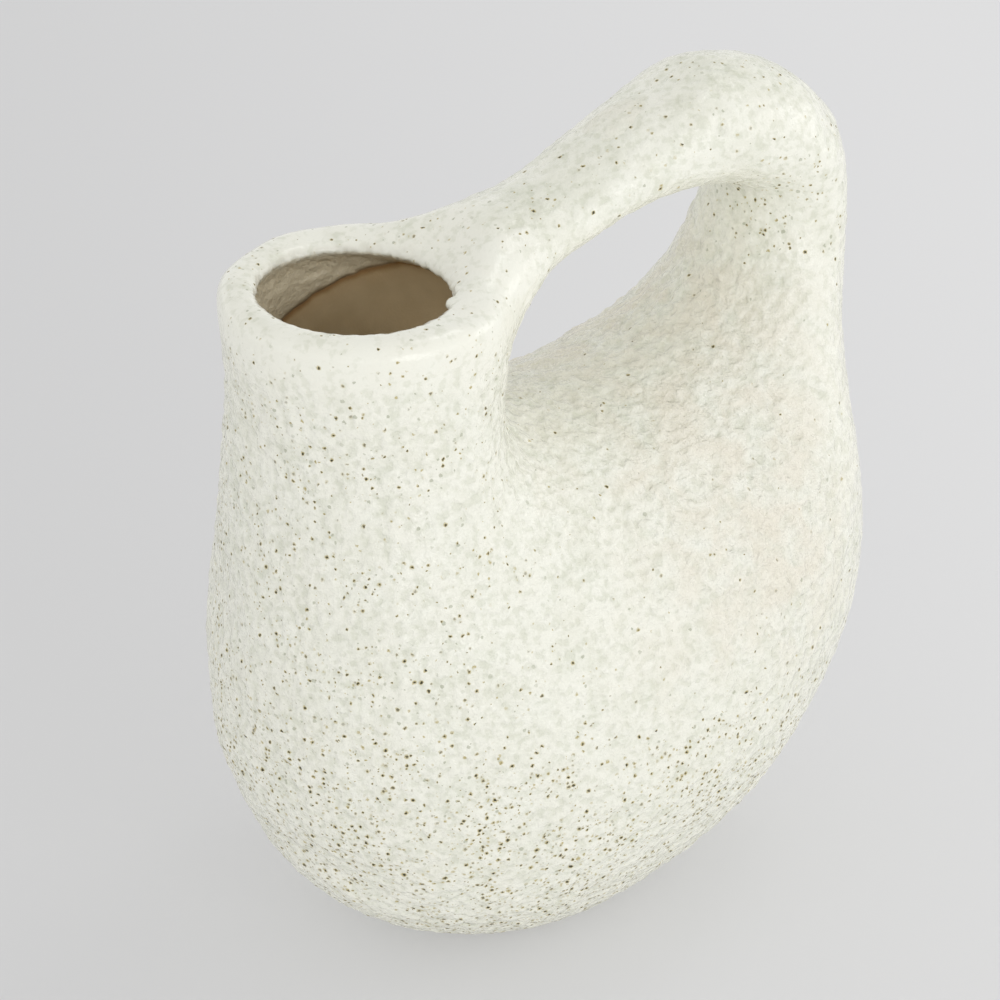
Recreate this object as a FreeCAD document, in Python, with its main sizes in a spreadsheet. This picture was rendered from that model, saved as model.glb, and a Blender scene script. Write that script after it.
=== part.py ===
"""Spanish botijo: a one-handled stoneware vessel with a hollow handle.

Millimetres, +Z up, the mouth towards -X and the handle towards +X, the vessel mirror-symmetric
about Y = 0. The origin is under the middle of the vessel, on the surface that it stands on.

The vessel is described the way a potter would draw it: a row of stations that starts above the
mouth, comes down the neck, goes round through the belly, climbs the rear limb and follows the
handle back into the neck. Each station is one oval across the wall of clay, from a point on the
finger-gap side to a point on the outside.
"""
import FreeCAD, Part
import math
import os
from FreeCAD import Vector

doc = FreeCAD.newDocument("Botijo")

# Driving sizes: alias, millimetres or degrees, what it is
SIZES = [
    ("pot_length", 238.0, "front of the belly to the back of the handle limb"),
    ("saddle_height", 184.5, "standing surface to the floor of the finger gap"),
    ("neck_height", 58.0, "floor of the finger gap to the top of the lip"),
    ("gap_height", 58.6, "floor of the finger gap to the underside of the handle's bow"),
    ("belly_width", 160.0, "widest part of the belly, side to side"),
    ("belly_wall", 7.5, "thickness of the belly's wall"),
    ("floor_thickness", 8.0, "thickness of the slab that closes the bottom"),
    ("foot_sink", 7.0, "how far the round underside is pressed flat"),
    ("belly_seam_height", 100.0, "height of the join at the widest line"),
    ("collar_height", 14.0, "the two stubs that the shoulder raises above the saddle"),
    ("neck_length", 88.5, "neck, front to back"),
    ("neck_width", 90.0, "neck, side to side"),
    ("neck_setback", 7.0, "front of the belly to the front of the neck"),
    ("neck_wall", 9.0, "thickness of the neck's wall"),
    ("lip_length", 89.5, "lip, front to back"),
    ("lip_width", 94.0, "lip, side to side"),
    ("lip_height", 15.0, "height of the coil that makes the lip"),
    ("lip_outer_round", 6.5, "rounding of the lip's outer edge"),
    ("lip_inner_round", 3.5, "rounding of the lip's inner edge"),
    ("bore_length", 59.0, "mouth opening, front to back"),
    ("bore_width", 65.0, "mouth opening, side to side"),
    ("bore_offset", 3.5, "the opening sits this far forward in the lip"),
    ("handle_wall", 7.5, "thickness of the hollow handle's wall"),
    ("limb_thickness", 48.5, "rear limb, inside to outside"),
    ("limb_width", 59.0, "rear limb, side to side"),
    ("elbow_thickness", 41.0, "top corner of the handle, inside to outside"),
    ("elbow_width", 59.0, "top corner of the handle, side to side"),
    ("bow_thickness", 40.5, "top of the handle, underside to top"),
    ("bow_width", 52.5, "top of the handle, side to side"),
    ("strut_thickness", 24.5, "slimmest place of the handle, underside to top"),
    ("strut_width", 40.0, "slimmest place of the handle, side to side"),
    ("root_thickness", 36.0, "handle where it nears the neck, underside to top"),
    ("root_width", 54.0, "handle where it nears the neck, side to side"),
    ("flare_thickness", 54.5, "flared end of the handle inside the neck's wall"),
    ("flare_spread", 26.0, "how much wider the flared end is than the root, side to side"),
    ("elbow_tilt", 32.0, "degrees, direction across the handle at its top corner"),
    ("overrun", 12.0, "how far cutting blocks and guide stations run past the vessel"),
]

sheet = doc.addObject("Spreadsheet::Sheet", "Sizes")
for row, (alias, value, meaning) in enumerate(SIZES, start=1):
    sheet.set(f"A{row}", alias)
    sheet.set(f"B{row}", str(value))
    sheet.set(f"C{row}", meaning)
    sheet.setAlias(f"B{row}", alias)
doc.recompute()


def size(alias):
    """The number in the sheet's cell of that name."""
    return float(getattr(sheet, alias))


# Heights and places that several pieces share
pot_length = size("pot_length")
saddle_height = size("saddle_height")
neck_height = size("neck_height")
gap_height = size("gap_height")
mouth_height = saddle_height + neck_height
round_height = saddle_height + size("foot_sink")
neck_front_x = -pot_length / 2 + size("neck_setback")
neck_rear_x = neck_front_x + size("neck_length")
neck_centre_x = (neck_front_x + neck_rear_x) / 2
bore_centre_x = neck_centre_x - size("bore_offset")
handle_span = pot_length / 2 - neck_rear_x


class Station:
    """One oval across the clay: two points in the plane of symmetry and a width along Y."""

    def __init__(self, inner, outer, width):
        self.inner = Vector(inner[0], 0, inner[1])
        self.outer = Vector(outer[0], 0, outer[1])
        self.width = width


def level_station(centre_x, length, width, height):
    """A horizontal oval."""
    return Station((centre_x + length / 2, height), (centre_x - length / 2, height), width)


def tilted_station(x, height, tilt, thickness, width):
    """An oval from its gap-side point to the outside, in a direction tilted by some degrees."""
    reach_x = math.cos(math.radians(tilt)) * thickness
    reach_z = math.sin(math.radians(tilt)) * thickness
    return Station((x, height), (x + reach_x, height + reach_z), width)


# Neck, as shares of neck_length from the neck's axis, of neck_height above the saddle, and of
# neck_width: inner point along, inner point up, outer point along, outer point up, width
NECK_SHARES = [
    (0.500, 0.580, -0.500, 0.560, 1.000),
    (0.450, 0.290, -0.499, -0.205, 1.073),
]


def neck_stations():
    """The ovals of the neck, top to bottom."""
    rows = []
    for inner_x, inner_z, outer_x, outer_z, width in NECK_SHARES:
        inner = (neck_centre_x + inner_x * size("neck_length"), saddle_height + inner_z * neck_height)
        outer = (neck_centre_x + outer_x * size("neck_length"), saddle_height + outer_z * neck_height)
        rows.append(Station(inner, outer, width * size("neck_width")))
    return rows


# Belly: inner points by shares of the span from the neck's back to the vessel's back and of
# gap_height above the saddle, outer points by shares of pot_length from the middle and of the
# full round height above its lowest point, and the width as a share of belly_width
BELLY_SHARES = [
    (0.001, 0.091, -0.496, 0.580, 0.730),
    (0.133, 0.000, -0.356, 0.139, 0.930),
    (0.300, 0.000, -0.009, 0.000, 1.000),
    (0.447, 0.081, 0.288, 0.156, 0.910),
    (0.575, 0.227, 0.458, 0.414, 0.745),
    (0.667, 0.490, 0.489, 0.744, 0.536),
]


def belly_stations():
    """The ovals of the belly, from under the neck round to the foot of the limb."""
    rows = []
    for inner_x, inner_z, outer_x, outer_z, width in BELLY_SHARES:
        inner = (neck_rear_x + inner_x * handle_span, saddle_height + inner_z * gap_height)
        outer = (outer_x * pot_length, outer_z * round_height - size("foot_sink"))
        rows.append(Station(inner, outer, width * size("belly_width")))
    return rows


# Handle: place, gap-side point by shares of the span from the neck's back to the vessel's back,
# of neck_height and of gap_height, both above the saddle, and the tilt in degrees
HANDLE_SHARES = {
    "limb": (0.705, 0.000, 0.780, -34.7),
    "elbow": (0.708, 0.000, 0.891, size("elbow_tilt")),
    "bow": (0.579, 0.000, 1.000, 83.2),
    "strut": (0.267, 0.600, 0.331, 101.4),
    "root": (0.050, 0.650, 0.000, 118.0),
    "flare": (-0.045, 0.356, 0.000, 127.7),
}


def handle_width(place):
    """Side to side at one of the handle's places."""
    if place == "flare":
        return size("root_width") + size("flare_spread")
    return size(place + "_width")


def handle_stations():
    """The ovals of the handle by place, from the rear limb over the gap and into the neck."""
    places = {}
    for place, (along, neck_share, gap_share, tilt) in HANDLE_SHARES.items():
        x = neck_rear_x + along * handle_span
        height = saddle_height + neck_share * neck_height + gap_share * gap_height
        thickness = size(place + "_thickness")
        places[place] = tilted_station(x, height, tilt, thickness, handle_width(place))
    return places


def rim_stations(centre_x, length, width):
    """Two level ovals that carry a tube straight through the mouth's plane."""
    above = mouth_height + size("overrun")
    below = mouth_height - size("lip_inner_round")
    return [
        level_station(centre_x, length, width, above),
        level_station(centre_x, length, width, below),
    ]


def funnel_stations():
    """Two level ovals of a funnel that opens at 45 degrees from the crest of the lip."""
    rows = []
    for rise in (0, 2 * size("overrun")):
        spread = 2 * (size("lip_inner_round") + rise)
        length = size("bore_length") + spread
        width = size("bore_width") + spread
        rows.append(level_station(bore_centre_x, length, width, mouth_height + rise))
    return rows


def slant(rows, index, side):
    """How squarely a station meets the skin on one side: 1 is square to it."""
    before = getattr(rows[max(index - 1, 0)], side)
    after = getattr(rows[min(index + 1, len(rows) - 1)], side)
    along_skin = (after - before).normalize()
    across = (rows[index].outer - rows[index].inner).normalize()
    return math.sqrt(1 - along_skin.dot(across) ** 2)


def hollowed(rows, wall):
    """The same stations moved inwards, so that the wall is equally thick square to the skin."""
    smaller = []
    for index, station in enumerate(rows):
        across = (station.outer - station.inner).normalize()
        inner = station.inner + across * (wall / slant(rows, index, "inner"))
        outer = station.outer - across * (wall / slant(rows, index, "outer"))
        smaller.append(Station((inner.x, inner.z), (outer.x, outer.z), station.width - 2 * wall))
    return smaller


# A quarter of an ellipse as one cubic curve has its handles at this share of the half-axes
QUARTER_SHARE = 0.5523


def oval_wire(station):
    """The station's oval as four quarter curves, which start on the finger-gap side."""
    centre = (station.inner + station.outer) / 2
    across = (station.inner - station.outer) / 2
    sideways = Vector(0, station.width / 2, 0)
    ways = [across, sideways, -across, -sideways, across]
    edges = []
    for start, end in zip(ways, ways[1:]):
        curve = Part.BezierCurve()
        curve.setPoles([
            centre + start,
            centre + start + end * QUARTER_SHARE,
            centre + end + start * QUARTER_SHARE,
            centre + end,
        ])
        edges.append(curve.toShape())
    return Part.Wire(edges)


def loft(name, rows):
    """A smooth solid through the ovals of the stations."""
    sections = []
    for index, station in enumerate(rows):
        section = doc.addObject("Part::Feature", f"{name}_station_{index}")
        section.Shape = oval_wire(station)
        sections.append(section)
    skin = doc.addObject("Part::Loft", name)
    skin.Sections = sections
    skin.Solid = True
    skin.Ruled = False
    skin.MaxDegree = 3
    return skin


def block(name, low, high):
    """A box from its low corner to its high corner, each corner three expressions."""
    box = doc.addObject("Part::Box", name)
    for axis, extent, start, end in zip("xyz", ("Length", "Width", "Height"), low, high):
        box.setExpression(f"Placement.Base.{axis}", start)
        box.setExpression(extent, f"({end}) - ({start})")
    return box


def boolean(kind, name, base, tool):
    """A cut or a common of two objects."""
    result = doc.addObject("Part::" + kind, name)
    result.Base = base
    result.Tool = tool
    return result


# Expressions for the edges of the cutting blocks
FRONT = "-Sizes.pot_length / 2 - Sizes.overrun"
REAR = "Sizes.pot_length / 2 + Sizes.overrun"
LEFT = "-Sizes.belly_width / 2 - Sizes.overrun"
RIGHT = "Sizes.belly_width / 2 + Sizes.overrun"
NECK_REAR = "Sizes.neck_setback + Sizes.neck_length - Sizes.pot_length / 2"
GAP_MIDDLE_SHARE = 0.3
GAP_MIDDLE = f"({NECK_REAR}) + {GAP_MIDDLE_SHARE} * (Sizes.pot_length / 2 - ({NECK_REAR}))"
GROUND = "0"
FLOOR = "Sizes.floor_thickness"
BELLY_SEAM = "Sizes.belly_seam_height"
COLLAR_SEAM = "Sizes.saddle_height + Sizes.collar_height"
MOUTH = "Sizes.saddle_height + Sizes.neck_height"
LIP_SEAM = f"{MOUTH} - Sizes.lip_height"
SKY = "Sizes.saddle_height + Sizes.gap_height + Sizes.bow_thickness + Sizes.overrun"


def layer(name, bottom, top, front=FRONT, rear=REAR):
    """A block over the vessel's whole width between two heights."""
    return block(name, (front, LEFT, bottom), (rear, RIGHT, top))


# Skin and hollow of the vessel, from above the mouth to the top of the handle
neck_rows = neck_stations()
belly_rows = belly_stations()
handle_places = handle_stations()
handle_rows = list(handle_places.values())
lip_rows = rim_stations(neck_centre_x, size("lip_length"), size("lip_width"))
bore_rows = rim_stations(bore_centre_x, size("bore_length"), size("bore_width"))
guide_rows = [handle_places[place] for place in ("limb", "elbow", "bow")]

vessel_rows = lip_rows + neck_rows + belly_rows + guide_rows
neck_start = len(lip_rows)
belly_start = neck_start + len(neck_rows)
handle_start = belly_start + len(belly_rows)
vessel_skin = loft("vessel_skin", vessel_rows)
hollow_rows = (
    bore_rows
    + hollowed(vessel_rows, size("neck_wall"))[neck_start:belly_start]
    + hollowed(vessel_rows, size("belly_wall"))[belly_start:handle_start]
    + hollowed(vessel_rows, size("handle_wall"))[handle_start:]
)
vessel_hollow = loft("vessel_hollow", hollow_rows)
hollow_layer = layer("hollow_layer", FLOOR, SKY)
vessel_room = boolean("Common", "vessel_room", vessel_hollow, hollow_layer)
vessel_wall = boolean("Cut", "vessel_wall", vessel_skin, vessel_room)


def mouth_edges(shape, centre_x, radius):
    """Numbers of the edges in the mouth's plane that lie on a ring of about that radius."""
    numbers = []
    nearness = size("lip_inner_round")
    for number, edge in enumerate(shape.Edges, start=1):
        middle = edge.valueAt((edge.FirstParameter + edge.LastParameter) / 2)
        off_plane = abs(edge.BoundBox.ZMin - mouth_height)
        off_ring = abs(math.hypot(middle.x - centre_x, middle.y) - radius)
        if off_plane < nearness / 2 and off_ring < nearness:
            numbers.append(number)
    return numbers


def rounded(name, base, centre_x, ring_name, rounding):
    """The base with the mouth edge on the lip's or the bore's ring rounded."""
    doc.recompute()
    radius = (size(ring_name + "_length") + size(ring_name + "_width")) / 4
    fillet = doc.addObject("Part::Fillet", name)
    fillet.Base = base
    numbers = mouth_edges(base.Shape, centre_x, radius)
    fillet.Edges = [(number, size(rounding), size(rounding)) for number in numbers]
    return fillet


# Foot slab: the flat disc that the belly is built on
foot_slab = boolean("Common", "foot_slab", vessel_skin, layer("foot_layer", GROUND, FLOOR))

# Belly bowl: the wall from the slab up to the widest line
belly_bowl = boolean("Common", "belly_bowl", vessel_wall, layer("bowl_layer", FLOOR, BELLY_SEAM))

# Belly shoulder: closes in over the bowl, forms the saddle and raises a stub for neck and handle
shoulder_layer = layer("shoulder_layer", BELLY_SEAM, COLLAR_SEAM)
belly_shoulder = boolean("Common", "belly_shoulder", vessel_wall, shoulder_layer)

# Neck and lip: cut flat at the mouth, rounded outside, bored out, rounded inside, then parted
neck_layer = layer("neck_layer", COLLAR_SEAM, MOUTH, rear=GAP_MIDDLE)
neck_blank = boolean("Common", "neck_blank", vessel_skin, neck_layer)
neck_plug = rounded("neck_plug", neck_blank, neck_centre_x, "lip", "lip_outer_round")
neck_bored = boolean("Cut", "neck_bored", neck_plug, vessel_room)
neck_tube = rounded("neck_tube", neck_bored, bore_centre_x, "bore", "lip_inner_round")
tube_layer = layer("tube_layer", COLLAR_SEAM, LIP_SEAM, rear=GAP_MIDDLE)
neck = boolean("Common", "neck", neck_tube, tube_layer)
mouth_lip = boolean("Cut", "mouth_lip", neck_tube, tube_layer)

# Handle limb: the broad rear leg, from the shoulder's stub up to the handle's top corner
elbow_block = doc.addObject("Part::Box", "elbow_block")
elbow_block.setExpression("Length", "2 * Sizes.pot_length")
elbow_block.setExpression("Width", f"{RIGHT} - ({LEFT})")
elbow_block.setExpression("Height", SKY)
elbow = handle_places["elbow"]
elbow_turn = FreeCAD.Rotation(Vector(0, 1, 0), -size("elbow_tilt"))
elbow_corner = (elbow.inner + elbow.outer) / 2 - elbow_turn.multVec(Vector(pot_length, 0, 0))
elbow_corner.y = -size("belly_width") / 2 - size("overrun")
elbow_block.Placement = FreeCAD.Placement(elbow_corner, elbow_turn)

rear_layer = layer("rear_layer", COLLAR_SEAM, SKY, front=GAP_MIDDLE)
limb_block = boolean("Cut", "limb_block", rear_layer, elbow_block)
handle_limb = boolean("Common", "handle_limb", vessel_wall, limb_block)

# Handle bow: from the top corner over the gap to its flared root on the neck and lip, hollow as
# far as its slimmest place. A funnel over the mouth keeps the opening clear.
bow_skin = loft("bow_skin", handle_rows)
room_places = dict(zip(handle_places, hollowed(handle_rows, size("handle_wall"))))
bow_room = loft("bow_room", [room_places[place] for place in ("limb", "elbow", "bow", "strut")])
bow_wall = boolean("Cut", "bow_wall", bow_skin, bow_room)
bow_blank = boolean("Common", "bow_blank", bow_wall, elbow_block)
bow_seated = boolean("Cut", "bow_seated", bow_blank, neck_plug)
mouth_funnel = loft("mouth_funnel", funnel_stations())
handle_bow = boolean("Cut", "handle_bow", bow_seated, mouth_funnel)

NODES = [foot_slab, belly_bowl, belly_shoulder, neck, mouth_lip, handle_limb, handle_bow]

doc.recompute()
for item in doc.Objects:
    if "Invalid" in item.State or "Error" in item.State:
        raise RuntimeError(f"{item.Label} failed: {item.State}")
for node in NODES:
    if node.Shape.isNull() or not node.Shape.isValid():
        raise RuntimeError(f"{node.Label} has no valid shape")
    if len(node.Shape.Solids) != 1:
        raise RuntimeError(f"{node.Label} is {len(node.Shape.Solids)} solids, not one")

os.makedirs("parts", exist_ok=True)
for node in NODES:
    node.Shape.exportStep(os.path.join("parts", node.Label + ".step"))
    print(f"{node.Label}: {node.Shape.Volume:.0f} cubic mm")
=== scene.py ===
"""A botijo vessel: one mouth, one hollow handle, seven pieces of stoneware under a speckled glaze."""
import math

import bmesh
import bpy
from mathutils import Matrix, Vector, noise
from mathutils.bvhtree import BVHTree
from mathutils.interpolate import poly_3d_calc


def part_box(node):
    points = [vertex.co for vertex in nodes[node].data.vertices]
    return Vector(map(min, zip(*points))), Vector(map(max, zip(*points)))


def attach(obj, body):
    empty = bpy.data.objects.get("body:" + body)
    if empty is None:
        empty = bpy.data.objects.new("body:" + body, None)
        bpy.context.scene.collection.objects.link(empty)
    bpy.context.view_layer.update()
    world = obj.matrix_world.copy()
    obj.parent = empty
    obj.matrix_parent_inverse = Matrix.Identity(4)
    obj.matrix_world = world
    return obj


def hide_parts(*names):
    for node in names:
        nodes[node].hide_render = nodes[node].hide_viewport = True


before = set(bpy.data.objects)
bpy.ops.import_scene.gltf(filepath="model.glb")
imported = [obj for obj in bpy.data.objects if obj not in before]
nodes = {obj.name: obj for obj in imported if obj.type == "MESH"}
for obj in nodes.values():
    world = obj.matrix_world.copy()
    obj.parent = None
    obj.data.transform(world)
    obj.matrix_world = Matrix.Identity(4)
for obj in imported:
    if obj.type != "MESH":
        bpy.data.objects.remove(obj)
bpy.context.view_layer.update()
scene = bpy.context.scene
MM = 0.001


# The vessel in leather-hard clay. A potter builds it from seven pieces, lutes them with slip and
# works the joins over until the skin runs on without a step. So the clay is shaped here in one go,
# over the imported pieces, and parted at its joins in the sections below.
SAME_PLACE = 0.001 * MM
CLAY_GRAIN = 1.1 * MM
SLIP_FILL = 0.8 * MM
WORKED_SHARE = 0.5
WORKED_ROUNDS = 5


def put(name, form):
    """A new object that takes its mesh from a bmesh and uses that up."""
    mesh = bpy.data.meshes.new(name)
    form.to_mesh(mesh)
    form.free()
    piece = bpy.data.objects.new(name, mesh)
    scene.collection.objects.link(piece)
    return piece


def settle(piece):
    """Apply the piece's modifiers to its mesh."""
    graph = bpy.context.evaluated_depsgraph_get()
    rough = piece.data
    piece.data = bpy.data.meshes.new_from_object(piece.evaluated_get(graph))
    piece.modifiers.clear()
    bpy.data.meshes.remove(rough)


def add_grain(piece):
    """Remesh the clay to an even grain."""
    remesh = piece.modifiers.new("grain", "REMESH")
    remesh.mode = "VOXEL"
    remesh.voxel_size = CLAY_GRAIN
    remesh.use_smooth_shade = True


def add_swell(piece, amount):
    """Let the clay's skin grow along its normals, or shrink."""
    swell = piece.modifiers.new("swell", "DISPLACE")
    swell.mid_level = 0
    swell.strength = amount


def add_smoothing(piece, rounds, where=""):
    """Work the skin over a number of times, all of it or a named part."""
    smooth = piece.modifiers.new("worked over", "SMOOTH")
    smooth.factor = WORKED_SHARE
    smooth.iterations = rounds
    smooth.vertex_group = where


clay = bmesh.new()
for node in nodes.values():
    clay.from_mesh(node.data)
bmesh.ops.remove_doubles(clay, verts=clay.verts, dist=SAME_PLACE)
vessel = put("vessel", clay)
add_grain(vessel)
add_swell(vessel, SLIP_FILL)
add_grain(vessel)
add_swell(vessel, -SLIP_FILL)
add_smoothing(vessel, WORKED_ROUNDS)
settle(vessel)


# The two sides of the wall. The mouth parts the skin into the outside, which the glaze covers, and
# the inside, which is reached only through the bore. A walk over the skin from the foot ends a
# little way down the bore.
BORE_CENTRE = Vector((-71.25, 0, 0)) * MM
BORE_REACH = Vector((29.5, 32.5, 0)) * MM
INSIDE_FROM = 3.5 * MM
INSIDE_TO = 4 * INSIDE_FROM
BORE_WALL_SHARE = 1.15
mouth_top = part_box("mouth_lip")[1].z


def bore_share(point):
    """How far a point lies from the bore's middle: 1 is the bore's own edge."""
    across = (point.x - BORE_CENTRE.x) / BORE_REACH.x
    along = point.y / BORE_REACH.y
    return math.hypot(across, along)


def outer_skin(mesh):
    """Which vertices of the vessel lie on its outside."""
    form = bmesh.new()
    form.from_mesh(mesh)
    start = min(form.verts, key=lambda vert: vert.co.z)
    outer = [False] * len(form.verts)
    outer[start.index] = True
    front = [start]
    while front:
        vert = front.pop()
        for edge in vert.link_edges:
            near = edge.other_vert(vert)
            if outer[near.index]:
                continue
            down = mouth_top - near.co.z
            if INSIDE_FROM < down < INSIDE_TO and bore_share(near.co) < BORE_WALL_SHARE:
                continue
            outer[near.index] = True
            front.append(near)
    form.free()
    return outer


outside = outer_skin(vessel.data)


# The handle's root. The wet bow is pressed onto the neck and the lip, and the thumb draws both
# together into one flare that leaves only the mouth's inner edge as it was.
ROOT_REACH = 17 * MM
ROOT_LOW = 186 * MM
ROOT_BACK = 34 * MM
ROOT_PULL = 2.5
ROOT_CLEAR = (1.04, 1.3)
ROOT_ROUNDS = 220


def ramp(value, low, high):
    """0 below low, 1 above high, and a smooth rise between."""
    share = min(max((value - low) / (high - low), 0), 1)
    return share * share * (3 - 2 * share)


def press_root(piece):
    """Draw the root together with the neck and the lip."""
    graph = bpy.context.evaluated_depsgraph_get()
    bow = BVHTree.FromObject(nodes["handle_bow"], graph)
    carriers = [BVHTree.FromObject(nodes[name], graph) for name in ("neck", "mouth_lip")]
    root = piece.vertex_groups.new(name="root")
    for vert in piece.data.vertices:
        if not outside[vert.index] or vert.co.z < ROOT_LOW or vert.co.x > ROOT_BACK:
            continue
        to_bow = bow.find_nearest(vert.co)[3] / ROOT_REACH
        to_neck = min(tree.find_nearest(vert.co)[3] for tree in carriers) / ROOT_REACH
        if max(to_bow, to_neck) < 1:
            pull = min(1, ROOT_PULL * (1 - to_bow) * (1 - to_neck))
            root.add([vert.index], pull * ramp(bore_share(vert.co), *ROOT_CLEAR), "REPLACE")
    add_smoothing(piece, ROOT_ROUNDS, "root")
    settle(piece)


press_root(vessel)


# The mouth's inner edge. The finger that wipes the lip rolls it in over the bore, most on the side
# of the handle's root, where the most clay stands. One drop of glaze has set beside the root.
ROLL_IN = 3.0 * MM
ROLL_DEPTH = 9 * MM
ROLL_REACH = 1.4
UNDERCUT = 3.2 * MM
UNDERCUT_DEPTH = 1.1 * MM
BEAD = 2.3 * MM
BEAD_HEIGHT = 0.7 * MM
BEAD_SHARE = 1.06
BEAD_EDGE = (0.04, 0.2)
DROP = Vector((-52.3, -24.2, 239.6)) * MM
DROP_SIZE = 3.2 * MM
DROP_EDGE = (0.2, 1.1)
DROP_MOVE = Vector((-1.3, 0.7, 0.5)) * MM


def roll_lip(piece):
    """Push the lip's inner edge in over the bore."""
    for vert in piece.data.vertices:
        share = bore_share(vert.co)
        down = mouth_top - vert.co.z
        if share > ROLL_REACH or vert.co.z < mouth_top - 5 * UNDERCUT:
            continue
        out = Vector((vert.co.x - BORE_CENTRE.x, vert.co.y, 0)).normalized()
        lean = (0.5 + 0.5 * out.x) ** 2
        lift = ramp(vert.co.z, mouth_top - ROLL_DEPTH, mouth_top - ROLL_DEPTH / 3)
        edge = 1 - ramp(share, 1, ROLL_REACH)
        bead = noise.noise(vert.co / BEAD) * BEAD_HEIGHT
        bead *= 1 - ramp(abs(share - BEAD_SHARE), *BEAD_EDGE)
        under = ramp(down, UNDERCUT, 2 * UNDERCUT) * (1 - ramp(down, 3 * UNDERCUT, 5 * UNDERCUT))
        vert.co -= out * (ROLL_IN * lean * lift * edge + bead - UNDERCUT_DEPTH * under * edge)
        near = (vert.co - DROP).length / DROP_SIZE
        vert.co += DROP_MOVE * (1 - ramp(near, *DROP_EDGE))


roll_lip(vessel)


# The skin. Coarse clay and a thick glaze leave soft lumps a few millimetres apart, more marked on
# the saddle and the back than on the neck, and smooth at the lip, where the finger wiped it. The
# palm and the fingers left broader marks: each is a place, how far the wall moved, and how wide.
LUMP = 3.0 * MM
LUMP_HEIGHT = 0.62 * MM
FLAKE = 5 * MM
FLAKE_SHARE = 0.5
SWELL = 15 * MM
SWELL_HEIGHT = 0.32 * MM
BACK_X = (-30 * MM, 15 * MM)
BACK_Z = (90 * MM, 130 * MM)
BACK_MORE = 0.6
REAR_X = (62 * MM, 100 * MM)
REAR_LESS = 0.35
BOW_Z = (215 * MM, 240 * MM)
BOW_LESS = 0.5
WIPED_Z = (214 * MM, 232 * MM)
WIPED_SHARE = (1.5, 2)
WIPED_LESS = 0.85
FOOT_Z = (0.5 * MM, 4 * MM)
MARKS_CLEAR = (1.05, 1.3)
PALM_MARKS = (
    (Vector((40, 6, 278)) * MM, -2.8 * MM, 34 * MM),
    (Vector((48, 2, 280)) * MM, -1.3 * MM, 20 * MM),
    (Vector((90, -2, 275)) * MM, 1.5 * MM, 26 * MM),
    (Vector((99, -12, 267)) * MM, 0.6 * MM, 16 * MM),
    (Vector((103, -24, 256)) * MM, -1.4 * MM, 16 * MM),
    (Vector((-70, 42, 236)) * MM, 1.4 * MM, 24 * MM),
    (Vector((-46, 38, 236)) * MM, 2.4 * MM, 20 * MM),
    (Vector((-41, 24, 246)) * MM, 1.1 * MM, 13 * MM),
    (Vector((-95, 32, 238)) * MM, 1.2 * MM, 20 * MM),
    (Vector((-107, 18, 192)) * MM, 2.0 * MM, 30 * MM),
    (Vector((-104, 29, 174)) * MM, 0.7 * MM, 22 * MM),
    (Vector((-114, 16, 84)) * MM, 1.7 * MM, 28 * MM),
    (Vector((-96, -16, 38)) * MM, -3.2 * MM, 42 * MM),
    (Vector((4, -63, 33)) * MM, -3.2 * MM, 46 * MM),
    (Vector((-113, 20, 137)) * MM, -2.6 * MM, 28 * MM),
    (Vector((113, -28, 150)) * MM, -1.5 * MM, 50 * MM),
    (Vector((91, -57, 122)) * MM, -1.0 * MM, 30 * MM),
    (Vector((-8, -20, 240)) * MM, -1.8 * MM, 18 * MM),
    (Vector((-25, -26, 233)) * MM, -1.1 * MM, 13 * MM),
    (Vector((-33, -30, 222)) * MM, -0.9 * MM, 11 * MM),
)
FINGER_MARKS = (
    (Vector((53.6, -22.6, 269.8)) * MM, -1.8 * MM, 5.5 * MM),
    (Vector((15, -77, 115)) * MM, 0.9 * MM, 3.6 * MM),
    (Vector((17, -77.5, 109.5)) * MM, 1.0 * MM, 3.4 * MM),
    (Vector((19, -78, 104)) * MM, 0.8 * MM, 3.2 * MM),
    (Vector((36, -76.5, 97)) * MM, 0.6 * MM, 3.6 * MM),
    (Vector((41, -76, 90)) * MM, 0.8 * MM, 3.6 * MM),
    (Vector((46, -75, 84)) * MM, 0.6 * MM, 3.4 * MM),
)


def lumpiness(point):
    """How marked the lumps are at a place on the skin."""
    back = ramp(point.x, *BACK_X) * ramp(point.z, *BACK_Z)
    bow = ramp(point.z, *BOW_Z)
    rear = ramp(point.x, *REAR_X) * (1 - bow)
    wiped = ramp(point.z, *WIPED_Z) * (1 - ramp(bore_share(point), *WIPED_SHARE))
    foot = 1 - ramp(point.z, *FOOT_Z)
    marked = 1 + BACK_MORE * back * (1 - bow) * (1 - rear) - BOW_LESS * bow - REAR_LESS * rear
    return marked * (1 - WIPED_LESS * wiped) * (1 - foot)


def marks_push(point):
    """How far the palm and the fingers moved the wall at a place."""
    push = 0
    for place, amount, width in PALM_MARKS + FINGER_MARKS:
        share = (point - place).length / width
        if share < 1:
            push += amount * (1 - ramp(share, 0, 1))
    return push * ramp(bore_share(point), *MARKS_CLEAR)


def roughen(piece):
    """Press the marks into the outside of the skin, and raise its lumps."""
    normals = [vert.normal.copy() for vert in piece.data.vertices]
    for vert in piece.data.vertices:
        if outside[vert.index]:
            vert.co += normals[vert.index] * marks_push(vert.co)
            lump = noise.noise(vert.co / LUMP) + FLAKE_SHARE * noise.noise(vert.co / FLAKE)
            swell = noise.noise(vert.co / SWELL) * SWELL_HEIGHT
            vert.co += normals[vert.index] * (lump * LUMP_HEIGHT + swell) * lumpiness(vert.co)


roughen(vessel)


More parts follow.
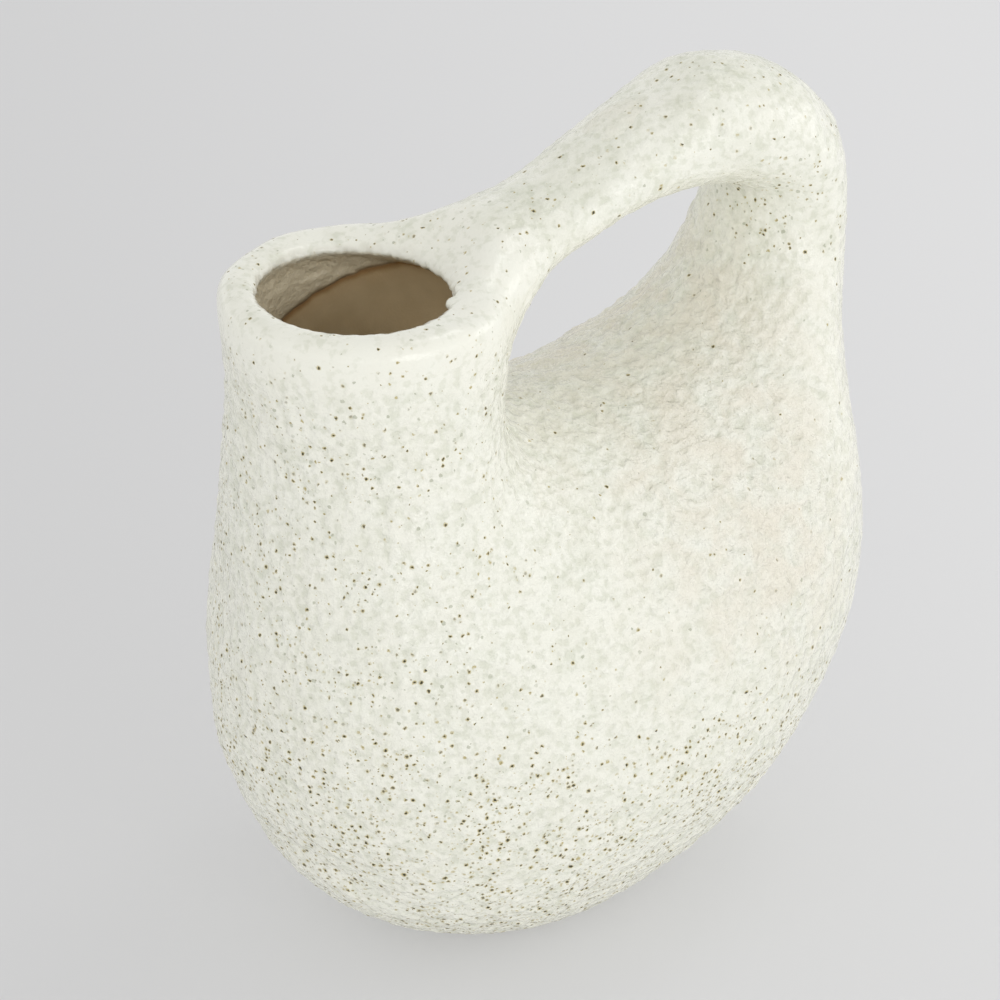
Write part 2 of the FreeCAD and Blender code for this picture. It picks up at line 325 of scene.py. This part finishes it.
# The white glaze. It is poured on thick over the whole outside: milky where it lies thick, greenish
# grey where it runs thin and, as painted shade, in the pits of the skin, warmer and crawled on the
# saddle. Iron in the clay bleeds through it as dark specks with rusty rings, most of them low on the
# belly.
GLAZE_WHITE = (0.915, 0.915, 0.82, 1)
GLAZE_THIN_AND_SHADE = (0.66, 0.68, 0.55, 1)
GLAZE_WARM = (0.86, 0.805, 0.68, 1)
IRON = (0.020, 0.020, 0.008, 1)
RUST = (0.44, 0.34, 0.07, 1)
SUNK_IRON = (0.36, 0.38, 0.26, 1)
PEBBLE = 2.8 * MM


def add(tree, kind, inputs=None, **settings):
    """A shader node with its settings; an input is a value or another node's output."""
    made = tree.nodes.new(kind)
    for name, value in settings.items():
        setattr(made, name, value)
    for name, value in (inputs or {}).items():
        if isinstance(value, bpy.types.NodeSocket):
            tree.links.new(value, made.inputs[name])
        else:
            made.inputs[name].default_value = value
    return made


def sum_of(tree, operation, first, second, third=0.0):
    """The result of a sum on up to three values or outputs."""
    made = add(tree, "ShaderNodeMath", {0: first, 1: second, 2: third}, operation=operation)
    return made.outputs[0]


def times(tree, first, *factors):
    """The product of values or outputs."""
    for factor in factors:
        first = sum_of(tree, "MULTIPLY", first, factor)
    return first


def scaled(tree, value, factor, offset):
    """A value times a factor, plus an offset."""
    return sum_of(tree, "MULTIPLY_ADD", value, factor, offset)


def rise(tree, value, low, high, bottom=0.0, top=1.0):
    """A smooth rise from bottom to top while the value goes from low to high."""
    ends = {"Value": value, "From Min": low, "From Max": high, "To Min": bottom, "To Max": top}
    return add(tree, "ShaderNodeMapRange", ends, interpolation_type="SMOOTHSTEP").outputs["Result"]


def blend(tree, share, first, second):
    """One colour over another by a share."""
    made = add(tree, "ShaderNodeMix", data_type="RGBA")
    sockets = {"Factor": share, "A": first, "B": second}
    for socket in made.inputs:
        if socket.enabled and socket.name in sockets:
            value = sockets[socket.name]
            if isinstance(value, bpy.types.NodeSocket):
                tree.links.new(value, socket)
            else:
                socket.default_value = value
    return next(socket for socket in made.outputs if socket.enabled)


def cloud(tree, vector, size, detail=2.0, distortion=0.0):
    """Noise whose lumps have a size in metres, from 0 to 1."""
    inputs = {"Vector": vector, "Scale": 1 / size, "Detail": detail, "Distortion": distortion}
    return add(tree, "ShaderNodeTexNoise", inputs).outputs["Fac"]


def axes_of(tree, vector):
    """A vector's X, Y and Z."""
    return add(tree, "ShaderNodeSeparateXYZ", {"Vector": vector}).outputs


def group(name, takes, gives):
    """A shader node group with its named inputs and outputs, and its two end nodes."""
    tree = bpy.data.node_groups.new(name, "ShaderNodeTree")
    for socket, kind, value in takes:
        made = tree.interface.new_socket(socket, in_out="INPUT", socket_type="NodeSocket" + kind)
        if value is not None:
            made.default_value = value
    for socket, kind in gives:
        tree.interface.new_socket(socket, in_out="OUTPUT", socket_type="NodeSocket" + kind)
    return tree, tree.nodes.new("NodeGroupInput").outputs, tree.nodes.new("NodeGroupOutput").inputs


def use(tree, made, inputs):
    """A node group placed in a material with its own values."""
    return add(tree, "ShaderNodeGroup", inputs, node_tree=made).outputs


# The grains of iron. Each lies in its own cell with a slightly shaken outline, a few of them
# large, strong and ringed, most small and faint. Core and ring are shares of the radius.
SHAKE = 0.9 * MM
SHAKE_SCALE = 1100.0
SMALLEST = 0.36
SIZE_SPREAD = 0.75
CORE = 0.7
STRONG_EDGE = (0.0, 0.7)
STRENGTH = (0.35, 1.0)
RING_OUTSIDE = 1.95
RING_INSIDE = 0.9
RUSTY_EDGE = (-0.2, 0.7)

specks, take, give = group(
    "iron_specks",
    (
        ("Vector", "Vector", None),
        ("Spacing", "Float", 3 * MM),
        ("Radius", "Float", 0.5 * MM),
        ("Share", "Float", 0.5),
    ),
    (("Speck", "Float"), ("Halo", "Float")),
)
wobble = add(
    specks, "ShaderNodeTexNoise", {"Vector": take["Vector"], "Scale": SHAKE_SCALE, "Detail": 1.0}
)
shaken = add(
    specks, "ShaderNodeVectorMath",
    {0: wobble.outputs["Color"], 1: (SHAKE, SHAKE, SHAKE), 2: take["Vector"]},
    operation="MULTIPLY_ADD",
)
cells_per_metre = sum_of(specks, "DIVIDE", 1.0, take["Spacing"])
cell = add(
    specks, "ShaderNodeTexVoronoi", {"Vector": shaken.outputs[0], "Scale": cells_per_metre}
)
draw = add(specks, "ShaderNodeSeparateColor", {"Color": cell.outputs["Color"]}).outputs
few_large = times(specks, draw["Red"], draw["Red"])
size = scaled(specks, few_large, SIZE_SPREAD, SMALLEST)
radius = times(specks, sum_of(specks, "DIVIDE", take["Radius"], take["Spacing"]), size)
present = sum_of(specks, "LESS_THAN", draw["Green"], take["Share"])
reach = cell.outputs["Distance"]
core = rise(specks, reach, radius, times(specks, radius, CORE))
strong = rise(specks, draw["Blue"], *STRONG_EDGE, *STRENGTH)
ring = rise(specks, reach, times(specks, radius, RING_OUTSIDE), times(specks, radius, RING_INSIDE))
rusty = rise(specks, draw["Blue"], *RUSTY_EDGE)
specks.links.new(times(specks, core, present, strong), give["Speck"])
specks.links.new(times(specks, ring, present, rusty), give["Halo"])

# The body of the glaze. It lies thin in broad pools. In the pits between the pebbles of the skin it
# lies thinner and carries painted shade. Warm patches lie over both.
POOL = 9 * MM
POOL_EDGE = (0.42, 0.68)
POOL_THINS = 0.22
PIT_SHADE_EDGE = (0.54, 0.34)
PIT_THINS_AND_SHADES = 0.44
PATCH = 13 * MM
PATCH_EDGE = (0.22, 0.70)

milk, take, give = group(
    "glaze_milk",
    (("Vector", "Vector", None), ("Warmth", "Float", 0.0), ("Thinness", "Float", 0.0)),
    (("Color", "Color"),),
)
pool = rise(milk, cloud(milk, take["Vector"], POOL, detail=3.0, distortion=0.4), *POOL_EDGE)
# Painted shade: the pits are the low points of the same noise that raises the pebbles, so the glaze
# is painted greyer and darker in the bumps' valleys.
thin_and_shaded_pit = rise(milk, cloud(milk, take["Vector"], PEBBLE, detail=3.0), *PIT_SHADE_EDGE)
thin_and_shaded = scaled(milk, pool, POOL_THINS, times(milk, thin_and_shaded_pit, PIT_THINS_AND_SHADES))
thin_and_shaded = sum_of(milk, "ADD", thin_and_shaded, take["Thinness"])
coat = blend(milk, thin_and_shaded, GLAZE_WHITE, GLAZE_THIN_AND_SHADE)
patch = rise(milk, cloud(milk, take["Vector"], PATCH, detail=3.0, distortion=0.6), *PATCH_EDGE)
coat = blend(milk, times(milk, patch, take["Warmth"]), coat, GLAZE_WARM)
milk.links.new(coat, give["Color"])

# The grain of the skin, as a height in millimetres: fine grog, pebbles, and wrinkles where the
# glaze crawled. The wrinkles run at a slant and are a little longer one way.
GROG = 0.9 * MM
WRINKLE = 3.2 * MM
WRINKLE_EDGE = (0.3, 0.7)
WRINKLE_TURN = (0.3, 0.5, 0.6)
WRINKLE_STRETCH = (0.8, 1.0, 1.0)

grain, take, give = group(
    "skin_grain",
    (
        ("Vector", "Vector", None),
        ("Grog", "Float", 0.04),
        ("Pebble", "Float", 0.2),
        ("Wrinkle", "Float", 0.0),
    ),
    (("Height", "Float"),),
)
fine = times(grain, cloud(grain, take["Vector"], GROG, detail=3.0), take["Grog"])
pebbled = scaled(grain, cloud(grain, take["Vector"], PEBBLE, detail=3.0), take["Pebble"], fine)
slanted = add(
    grain, "ShaderNodeMapping",
    {"Vector": take["Vector"], "Rotation": WRINKLE_TURN, "Scale": WRINKLE_STRETCH},
)
crease = cloud(grain, slanted.outputs[0], WRINKLE, detail=3.0, distortion=0.15)
wrinkled = times(grain, rise(grain, crease, *WRINKLE_EDGE), take["Wrinkle"])
grain.links.new(sum_of(grain, "ADD", pebbled, wrinkled), give["Height"])

# The glaze with its iron. Sunk grains show faint and wide, the others dark with a ring, and
# larger low on the belly than on the neck.
SUNK_SPACING = 2.9 * MM
SUNK_RADIUS = 0.80 * MM
SUNK_MORE = 1.8
SUNK_SHOWS = 0.6
GRAIN_SPACING = 1.7 * MM
GRAIN_Z = (60 * MM, 150 * MM)
GRAIN_RADIUS = (0.57 * MM, 0.48 * MM)
RING_SHOWS = 0.8
GRAIN_SHOWS = 0.95


def finish_of(name):
    """A material with its node tree, its shader's inputs and the object's coordinates."""
    made = bpy.data.materials.new(name)
    made.use_nodes = True
    tree = made.node_tree
    place = add(tree, "ShaderNodeTexCoord").outputs["Object"]
    return made, tree, tree.nodes["Principled BSDF"].inputs, place


def raise_skin(tree, shader, height):
    """Bump the surface by a height in millimetres."""
    bump = add(tree, "ShaderNodeBump", {"Height": height, "Distance": 1 * MM, "Strength": 1.0})
    tree.links.new(bump.outputs["Normal"], shader["Normal"])


def glaze_over(tree, place, share, warmth, thinness):
    """The glaze's colour with its iron, and how much iron shows."""
    coat = use(tree, milk, {"Vector": place, "Warmth": warmth, "Thinness": thinness})["Color"]
    sunk = use(tree, specks, {
        "Vector": place, "Spacing": SUNK_SPACING, "Radius": SUNK_RADIUS,
        "Share": times(tree, share, SUNK_MORE),
    })
    coat = blend(tree, times(tree, sunk["Speck"], SUNK_SHOWS), coat, SUNK_IRON)
    iron = use(tree, specks, {
        "Vector": place, "Spacing": GRAIN_SPACING, "Share": share,
        "Radius": rise(tree, axes_of(tree, place)["Z"], *GRAIN_Z, *GRAIN_RADIUS),
    })
    coat = blend(tree, times(tree, iron["Halo"], RING_SHOWS), coat, RUST)
    coat = blend(tree, times(tree, iron["Speck"], GRAIN_SHOWS), coat, IRON)
    return coat, iron["Speck"]


# Where the glaze differs: on the handle, on the wiped lip, and on the saddle, where it is warm.
# The edge of the saddle's glaze drifts to and fro.
DRIFT = 24 * MM
DRIFT_REACH = 90 * MM
HANDLE_Z = (205 * MM, 240 * MM)
LIP_Z = (224 * MM, 236 * MM)
LIP_X = (-12 * MM, -30 * MM)
SADDLE_X = (-45 * MM, 50 * MM)
SADDLE_Z = (80 * MM, 140 * MM)
WARM_X = (56 * MM, 94 * MM)
WARM_SHARE = (1.0, 0.15)

glaze, tree, shader, place = finish_of("speckled_glaze")
axes = axes_of(tree, place)
drift = sum_of(tree, "SUBTRACT", cloud(tree, place, DRIFT), 0.5)
drifted_x = scaled(tree, drift, DRIFT_REACH, axes["X"])
handle = rise(tree, axes["Z"], *HANDLE_Z)
body = sum_of(tree, "SUBTRACT", 1.0, handle)
lip = times(tree, rise(tree, axes["Z"], *LIP_Z), rise(tree, axes["X"], *LIP_X))
saddle = times(tree, rise(tree, drifted_x, *SADDLE_X), rise(tree, axes["Z"], *SADDLE_Z), body)
warm = times(tree, saddle, rise(tree, axes["X"], *WARM_X, *WARM_SHARE))

# How much iron shows. It lies in clusters, most of it low on the belly and at the front, with one
# more under the elbow. The flank behind the neck and above the low belly is almost clear.
LOW_Z = (25 * MM, 150 * MM)
LOW_IRON = (1.02, 0.25)
HIGH_Z = (200 * MM, 240 * MM)
HIGH_IRON = (1.0, 0.55)
CLEAR_X = (-85 * MM, -10 * MM)
CLEAR_Z = (62 * MM, 112 * MM)
CLEARED = 0.87
FRONT_X = (-84 * MM, -106 * MM)
FRONT_IRON = (0.0, 0.24)
CLUSTER = 16 * MM
CLUSTER_EDGE = (0.36, 0.66)
CLUSTER_IRON = (0.45, 1.75)
ELBOW_PLACE = Vector((80, -16, 236)) * MM
ELBOW_REACH = (24 * MM, 8 * MM)
ELBOW_IRON = (0.0, 0.5)

clear = times(tree, rise(tree, drifted_x, *CLEAR_X), rise(tree, axes["Z"], *CLEAR_Z), body)
share = times(
    tree, rise(tree, axes["Z"], *LOW_Z, *LOW_IRON), rise(tree, axes["Z"], *HIGH_Z, *HIGH_IRON),
    scaled(tree, clear, -CLEARED, 1.0),
)
at_front = times(tree, rise(tree, axes["X"], *FRONT_X, *FRONT_IRON), body)
cluster = rise(tree, cloud(tree, place, CLUSTER), *CLUSTER_EDGE, *CLUSTER_IRON)
share = times(tree, sum_of(tree, "ADD", share, at_front), cluster)
to_elbow = add(tree, "ShaderNodeVectorMath", {0: place, 1: ELBOW_PLACE}, operation="DISTANCE")
at_elbow = rise(tree, to_elbow.outputs["Value"], *ELBOW_REACH, *ELBOW_IRON)
share = sum_of(tree, "ADD", share, at_elbow)

# How the glaze ran. It is warmest on the saddle, runs thin off the top of the handle, and lies
# thick and most glossy on the lip.
WARMTH_LEAST = 0.12
WARMTH_SADDLE = 0.66
UPWARD = (0.45, 1.0)
RUN = 17 * MM
RUN_EDGE = (0.36, 0.62)
RUN_THINS = (0.02, 0.34)
LIP_THICKENS = 0.26
SHEEN = 5 * MM
SHEEN_EDGE = (0.3, 0.7)
SHEEN_ROUGHNESS = (0.12, 0.30)
LIP_SHINES = 0.4

warmth = scaled(tree, warm, WARMTH_SADDLE, WARMTH_LEAST)
facing = axes_of(tree, add(tree, "ShaderNodeNewGeometry").outputs["Normal"])
run_off = rise(tree, cloud(tree, place, RUN), *RUN_EDGE, *RUN_THINS)
thinness = times(tree, rise(tree, facing["Z"], *UPWARD), handle, run_off)
thinness = scaled(tree, lip, -LIP_THICKENS, thinness)
coat, iron = glaze_over(tree, place, share, warmth, thinness)
tree.links.new(coat, shader["Base Color"])
gloss = rise(tree, cloud(tree, place, SHEEN), *SHEEN_EDGE, *SHEEN_ROUGHNESS)
gloss = times(tree, gloss, scaled(tree, lip, -LIP_SHINES, 1.0))
tree.links.new(gloss, shader["Roughness"])

# The glaze's relief, in millimetres. It is strongest where the glaze crawled on the saddle, and
# softer on the handle, at the rear, at the foot and most of all on the lip. A speck is a small pit.
GROG_HEIGHT = 0.14
GROG_SADDLE = 0.06
PEBBLE_HEIGHT = 1.3
PEBBLE_HANDLE = 0.6
PEBBLE_WARM = 0.4
LIP_SMOOTHS = 0.7
REAR_CALM = (1.0, 0.6)
LOW_CALM_Z = (18 * MM, 80 * MM)
LOW_CALM = (0.6, 1.0)
WRINKLE_HEIGHT = 0.40
SPECK_PIT = 0.05

lip_off = scaled(tree, lip, -LIP_SMOOTHS, 1.0)
grog = times(tree, scaled(tree, saddle, GROG_SADDLE, GROG_HEIGHT), lip_off)
pebble = scaled(tree, handle, -PEBBLE_HANDLE, PEBBLE_HEIGHT)
pebble = times(
    tree, scaled(tree, warm, PEBBLE_WARM, pebble), lip_off,
    rise(tree, axes["X"], *REAR_X, *REAR_CALM), rise(tree, axes["Z"], *LOW_CALM_Z, *LOW_CALM),
)
wrinkle = times(tree, warm, WRINKLE_HEIGHT)
relief = {"Vector": place, "Grog": grog, "Pebble": pebble, "Wrinkle": wrinkle}
height = use(tree, grain, relief)["Height"]
raise_skin(tree, shader, scaled(tree, iron, -SPECK_PIT, height))


# The inside of the wall. The glaze was rinsed round the mouth only, in a thin wash that ends on a
# tilted, wavy line. Below it the bare tan stoneware shows, toasted brown by the fire at that line.
CLAY = (0.605, 0.480, 0.290, 1)
CLAY_PALE = (0.655, 0.525, 0.325, 1)
GLAZE_WASH = (0.70, 0.62, 0.45, 1)
TOASTED = (0.31, 0.165, 0.05, 1)
SINGED = (0.53, 0.36, 0.18, 1)
LINE_SLOPE_X = 0.40
LINE_SLOPE_Y = -0.118
LINE_HEIGHT = 252.8 * MM
WAVE = 11 * MM
WAVE_HEIGHT = 5 * MM
WASH_IRON = 0.12
WASH_WARMTH = 0.35
WASH_THINNESS = 0.2
WASH_Z = (241 * MM, 235 * MM)
WASH_SHARE = (0.0, 0.95)
MOTTLE = 7 * MM
MOTTLE_EDGE = (0.3, 0.7)
SINGED_BAND = (-10 * MM, 0.0)
SINGED_SHARE = (0.0, 0.5)
TOASTED_BAND = (-3.6 * MM, -0.3 * MM)
TOASTED_SHARE = (0.0, 0.95)
GLAZE_BAND = (-0.9 * MM, 1.2 * MM)
STEP_BAND = (-0.6 * MM, 0.6 * MM)
STEP_ROUGHNESS = (0.9, 0.38)
STEP_HEIGHT = (0.0, 0.35)
RELIEF_BAND = (-0.6 * MM, 2 * MM)
WASH_GROG = 0.12
WASH_PEBBLE = (0.05, 0.8)
WASH_WRINKLE = (0.0, 0.28)

inside, tree, shader, place = finish_of("mouth_inside")
axes = axes_of(tree, place)
line = scaled(tree, axes["Y"], LINE_SLOPE_Y, LINE_HEIGHT)
line = scaled(tree, axes["X"], LINE_SLOPE_X, line)
wave = times(tree, sum_of(tree, "SUBTRACT", cloud(tree, place, WAVE), 0.5), WAVE_HEIGHT)
over = sum_of(tree, "SUBTRACT", axes["Z"], sum_of(tree, "ADD", line, wave))
coat = glaze_over(tree, place, WASH_IRON, WASH_WARMTH, WASH_THINNESS)[0]
coat = blend(tree, rise(tree, axes["Z"], *WASH_Z, *WASH_SHARE), coat, GLAZE_WASH)
mottle = rise(tree, cloud(tree, place, MOTTLE, detail=4.0), *MOTTLE_EDGE)
bare = blend(tree, mottle, CLAY, CLAY_PALE)
bare = blend(tree, rise(tree, over, *SINGED_BAND, *SINGED_SHARE), bare, SINGED)
bare = blend(tree, rise(tree, over, *TOASTED_BAND, *TOASTED_SHARE), bare, TOASTED)
tree.links.new(blend(tree, rise(tree, over, *GLAZE_BAND), bare, coat), shader["Base Color"])
tree.links.new(rise(tree, over, *STEP_BAND, *STEP_ROUGHNESS), shader["Roughness"])
relief = {
    "Vector": place, "Grog": WASH_GROG,
    "Pebble": rise(tree, over, *RELIEF_BAND, *WASH_PEBBLE),
    "Wrinkle": rise(tree, over, *RELIEF_BAND, *WASH_WRINKLE),
}
height = use(tree, grain, relief)["Height"]
step = rise(tree, over, *STEP_BAND, *STEP_HEIGHT)
raise_skin(tree, shader, sum_of(tree, "ADD", height, step))


# The bare clay. The wiped underside of the foot and the scored faces where two pieces are luted
# together are unglazed stoneware, rough with grog.
BARE_MOTTLE = 4 * MM
BARE_ROUGHNESS = 0.88
BARE_PEBBLE = 0.1
FOOT_GROG = 0.16
JOINT_GROG = 0.25


def bare_clay(name, grog):
    """Unglazed stoneware with its grog."""
    made, tree, shader, place = finish_of(name)
    tone = rise(tree, cloud(tree, place, BARE_MOTTLE, detail=5.0), *MOTTLE_EDGE)
    tree.links.new(blend(tree, tone, CLAY, CLAY_PALE), shader["Base Color"])
    shader["Roughness"].default_value = BARE_ROUGHNESS
    relief = {"Vector": place, "Grog": grog, "Pebble": BARE_PEBBLE, "Wrinkle": 0.0}
    raise_skin(tree, shader, use(tree, grain, relief)["Height"])
    return made


# Parting the clay at its joins. The glaze is the first finish, and the inside, the wiped foot and
# the joints get theirs. Each piece is parted off where it fills a room of its own, with a bare face
# at each join, and its skin keeps the look of the whole. The inside has a coarser mesh.
INSIDE = 1
BARE = 2
JOINT = 3
INNER_THINNED = 0.62
FOOT_WIPED = 1 * MM
FACES_DOWN = -0.8

bare_foot = bare_clay("bare_foot", FOOT_GROG)
luted_joint = bare_clay("luted_joint", JOINT_GROG)
finishes = (glaze, inside, bare_foot, luted_joint)
vessel.data.materials.clear()
for finish in finishes:
    vessel.data.materials.append(finish)
for face in vessel.data.polygons:
    if not all(outside[index] for index in face.vertices):
        face.material_index = INSIDE
    elif face.center.z < FOOT_WIPED and face.normal.z < FACES_DOWN:
        face.material_index = BARE

inner = vessel.vertex_groups.new(name="inner")
inner.add([index for index, outer in enumerate(outside) if not outer], 1, "REPLACE")
thinned = vessel.modifiers.new("thinned", "DECIMATE")
thinned.ratio = INNER_THINNED
thinned.vertex_group = "inner"
settle(vessel)

skin = bmesh.new()
skin.from_mesh(vessel.data)
skin.faces.ensure_lookup_table()
skin_tree = BVHTree.FromBMesh(skin)


def skin_normal(point):
    """The uncut skin's normal at a point on a seam."""
    face = skin.faces[skin_tree.find_nearest(point)[2]]
    shares = poly_3d_calc([vert.co for vert in face.verts], point)
    total = Vector()
    for share, vert in zip(shares, face.verts):
        total += share * vert.normal
    return total.normalized()


def keep_skin(piece):
    """Shade the piece along its joins as the whole skin was, and leave the joint faces flat."""
    seam = set()
    for face in piece.data.polygons:
        if face.material_index == JOINT:
            face.use_smooth = False
            seam.update(face.vertices)
    along = {index: skin_normal(piece.data.vertices[index].co) for index in seam}
    normals = [Vector()] * len(piece.data.loops)
    for face in piece.data.polygons:
        if face.material_index != JOINT:
            for corner, index in zip(face.loop_indices, face.vertices):
                normals[corner] = along.get(index, normals[corner])
    piece.data.normals_split_custom_set(normals)


def cut_with(piece, operation, cutter):
    """Cut a piece with another form."""
    cut = piece.modifiers.new(cutter.name, "BOOLEAN")
    cut.operation = operation
    cut.solver = "MANIFOLD"
    cut.object = cutter


def part_off(name, room):
    """Part a piece off the vessel where it fills a room, and let it stand for its node."""
    for face in room.faces:
        face.material_index = JOINT
    cutter = put(name + "_room", room)
    for finish in finishes:
        cutter.data.materials.append(finish)
    piece = bpy.data.objects.new(name + "_clay", vessel.data.copy())
    scene.collection.objects.link(piece)
    cut_with(piece, "INTERSECT", cutter)
    settle(piece)
    bpy.data.objects.remove(cutter)
    keep_skin(piece)
    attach(piece, "root")
    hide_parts(name)


# The foot slab. A flat disc of clay, rolled out and cut round, is what the vessel is built on and
# stands on. Its underside is wiped free of glaze, or it would fuse to the kiln shelf.
WIDE = 0.5
SLAB_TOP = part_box("foot_slab")[1].z


def block(low, high):
    """A block of space between two corners."""
    form = bmesh.new()
    bmesh.ops.create_cube(form, size=1)
    bmesh.ops.scale(form, verts=form.verts, vec=high - low)
    bmesh.ops.translate(form, verts=form.verts, vec=(low + high) / 2)
    return form


def layer(low, high):
    """A layer of space as wide as the vessel between two heights."""
    return block(Vector((-WIDE, -WIDE, low)), Vector((WIDE, WIDE, high)))


part_off("foot_slab", layer(-WIDE, SLAB_TOP))


# The belly's bowl. Coils of clay on the slab, paddled out to the widest line of the vessel and
# luted to the slab all round.
BOWL_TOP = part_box("belly_bowl")[1].z

part_off("belly_bowl", layer(SLAB_TOP, BOWL_TOP))


# The belly's shoulder. The closing half of the belly, drawn in over the bowl, with the saddle and
# two short stubs that carry the neck and the handle's limb.
SHOULDER_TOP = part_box("belly_shoulder")[1].z

part_off("belly_shoulder", layer(BOWL_TOP, SHOULDER_TOP))


# The neck. A short wide tube of clay, luted to the front stub of the shoulder. The handle's root
# is pressed onto its back.
SLIP = 1.5 * MM
PLUG_SIDES = 96
NECK_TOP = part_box("neck")[1].z


def plug(low, high):
    """The upright column of space that the neck and the lip fill."""
    corner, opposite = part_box("neck")
    reach = (opposite - corner) / 2 + Vector((SLIP, SLIP, 0))
    centre = (corner + opposite) / 2
    form = bmesh.new()
    bmesh.ops.create_cone(
        form, cap_ends=True, segments=PLUG_SIDES, radius1=1, radius2=1, depth=1
    )
    bmesh.ops.scale(form, verts=form.verts, vec=(reach.x, reach.y, high - low))
    bmesh.ops.translate(form, verts=form.verts, vec=(centre.x, centre.y, (high + low) / 2))
    return form


part_off("neck", plug(SHOULDER_TOP, NECK_TOP))


# The mouth's lip. One thick coil of clay on the neck, wiped round with a wet finger, with the
# only opening of the vessel through it.
LIP_TOP = mouth_top + 1 * MM

part_off("mouth_lip", plug(NECK_TOP, LIP_TOP))


# The handle's limb. A broad hollow leg, pulled as a tube, that stands on the rear stub of the
# shoulder and ends at the elbow in a slanted join.
ELBOW = Vector((94.8, 0, 247.6)) * MM
ELBOW_TILT = math.radians(32)
LIMB_FRONT = 20 * MM


def limb_room():
    """The space behind the finger gap and under the elbow's slanted join."""
    form = block(Vector((LIMB_FRONT, -WIDE, SHOULDER_TOP)), Vector((WIDE, WIDE, WIDE)))
    up = Vector((-math.sin(ELBOW_TILT), 0, math.cos(ELBOW_TILT)))
    parts = form.verts[:] + form.edges[:] + form.faces[:]
    cut = bmesh.ops.bisect_plane(form, geom=parts, plane_co=ELBOW, plane_no=up, clear_outer=True)
    rim = [part for part in cut["geom_cut"] if isinstance(part, bmesh.types.BMEdge)]
    bmesh.ops.holes_fill(form, edges=rim)
    bmesh.ops.recalc_face_normals(form, faces=form.faces)
    return form


part_off("handle_limb", limb_room())


# The handle's bow. A hollow tube bent from the elbow over the finger gap, flared out and pressed
# onto the neck and the lip. It fills what the other pieces leave above the shoulder.
bow_room = put("bow_room", layer(SHOULDER_TOP, WIDE))
for name, taken in (("plug", plug(0, LIP_TOP)), ("limb", limb_room())):
    cut_with(bow_room, "DIFFERENCE", put(name, taken))
settle(bow_room)
room = bmesh.new()
room.from_mesh(bow_room.data)
for name in ("bow_room", "plug", "limb"):
    bpy.data.objects.remove(bpy.data.objects[name])
part_off("handle_bow", room)
bpy.data.objects.remove(vessel)
skin.free()


# The floor. A sweep of pale paper under the vessel, with a painted pool of light that makes it a
# little brighter towards the right, the lamps' side. It shows brighter than it lights the clay, and
# keeps the vessel's shadow.
FLOOR_REACH = 8
FLOOR_UNDER = 0.1 * MM
PAPER = (0.92, 0.92, 0.93, 1)
PAPER_ROUGHNESS = 0.9
PAPER_GLOW = (0.535, 0.705)
PAPER_GLOW_SHARE = 0.6
ACROSS = (0.895, -0.445, 0)
ACROSS_REACH = (-0.30, 0.42)

form = bmesh.new()
bmesh.ops.create_grid(form, x_segments=1, y_segments=1, size=FLOOR_REACH)
bmesh.ops.translate(form, verts=form.verts, vec=(0, 0, -FLOOR_UNDER))
floor = put("floor", form)
paper, tree, shader, place = finish_of("pale_paper")
shader["Base Color"].default_value = PAPER
shader["Roughness"].default_value = PAPER_ROUGHNESS
# Painted light: the paper's glow ramps up across the floor towards the right, as if lit more from
# that side.
across = add(tree, "ShaderNodeVectorMath", {0: place, 1: ACROSS}, operation="DOT_PRODUCT")
glow = rise(tree, across.outputs["Value"], *ACROSS_REACH, *PAPER_GLOW)
lit = add(tree, "ShaderNodeEmission", {"Strength": glow})
ray = add(tree, "ShaderNodeLightPath").outputs
seen = sum_of(tree, "ADD", ray["Is Camera Ray"], ray["Is Glossy Ray"])
seen = sum_of(tree, "ADD", seen, ray["Is Transmission Ray"])
shade = add(tree, "ShaderNodeMixShader", {"Fac": times(tree, seen, PAPER_GLOW_SHARE)})
tree.links.new(tree.nodes["Principled BSDF"].outputs[0], shade.inputs[1])
tree.links.new(lit.outputs[0], shade.inputs[2])
tree.links.new(shade.outputs[0], tree.nodes["Material Output"].inputs["Surface"])
floor.data.materials.append(paper)


# The light. A white room that is brighter at the horizon than overhead, and three soft round lamps:
# one in front, one at the right, and a small one overhead that puts a shine on the lip and the bow.
LIT_POINT = Vector((0, 0, 0.12))
WHITE = (1, 1, 1, 1)
ROOM_UP = (0.0, 1.0)
ROOM_LIGHT = (1.02, 0.68)

room_light = bpy.data.worlds.new("room_light")
scene.world = room_light
room_light.use_nodes = True
tree = room_light.node_tree
walls = tree.nodes["Background"].inputs
walls["Color"].default_value = WHITE
up = axes_of(tree, add(tree, "ShaderNodeTexCoord").outputs["Generated"])["Z"]
tree.links.new(rise(tree, up, *ROOM_UP, *ROOM_LIGHT), walls["Strength"])


def lamp(name, place, size, energy):
    """A soft round lamp that points at the vessel."""
    made = bpy.data.objects.new(name, bpy.data.lights.new(name, "AREA"))
    scene.collection.objects.link(made)
    made.data.shape = "DISK"
    made.data.size = size
    made.data.energy = energy
    made.location = place
    made.rotation_euler = (LIT_POINT - made.location).to_track_quat("-Z", "Y").to_euler()


lamp("front", place=(-0.1, -1.5, 0.5), size=0.8, energy=3.5)
lamp("right", place=(1.5, -0.5, 0.5), size=0.8, energy=1.6)
lamp("overhead", place=(0.6, 0.0, 1.25), size=0.45, energy=0.9)


# The camera. It looks down on the vessel's left front, from where the handle's gap and the mouth
# both show.
CAMERA_PLACE = Vector((-682.495, -892.805, 768.224)) * MM
CAMERA_TARGET = Vector((-12.037, 5.373, 144.549)) * MM
LENS = 140.45
SENSOR_WIDTH = 36

camera = bpy.data.objects.new("camera", bpy.data.cameras.new("camera"))
scene.collection.objects.link(camera)
scene.camera = camera
camera.location = CAMERA_PLACE
camera.rotation_euler = (CAMERA_TARGET - CAMERA_PLACE).to_track_quat("-Z", "Y").to_euler()
camera.data.lens = LENS
camera.data.sensor_width = SENSOR_WIDTH
scene.view_settings.view_transform = "Standard"
